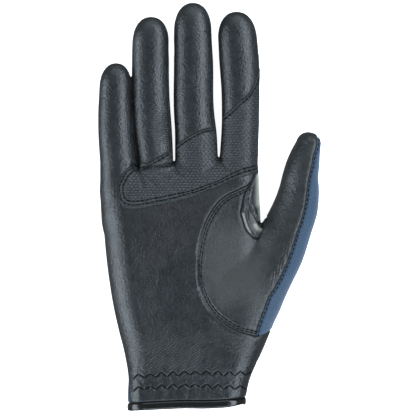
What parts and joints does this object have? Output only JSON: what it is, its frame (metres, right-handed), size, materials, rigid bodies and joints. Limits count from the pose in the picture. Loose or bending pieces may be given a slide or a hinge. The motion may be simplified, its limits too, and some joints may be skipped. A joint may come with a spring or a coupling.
{
  "type": "riding glove",
  "caption": "Right-hand horse riding glove with a leather palm, embossed grip patch, fabric back and thumb edge, and a short gathered cuff with a glossy binding.",
  "frame": {"origin": "on the flat that the glove's back rests on, under the middle of the palm, 88 mm from the cuff's edge", "axes": "+Y towards the fingertips, +Z out of the palm, +X towards the thumb"},
  "size_m": [0.1237, 0.2283, 0.028],
  "materials": {
    "leather": "semi-gloss, fine soft grain",
    "grip_leather": "satin, embossed with small dots",
    "blue_fabric": "matt, fine weave",
    "glossy_binding": "glossy"
  },
  "bodies": {
    "root": {"palm_panel": "leather", "back_panel": "blue_fabric", "fourchette_little_ring": "leather", "fourchette_ring_middle": "leather", "fourchette_middle_index": "leather", "thumb_panel": "leather", "thumb_back": "blue_fabric", "thumb_gusset": "leather", "grip_patch": "grip_leather", "cuff_binding": "glossy_binding"}
  },
  "joints": []
}
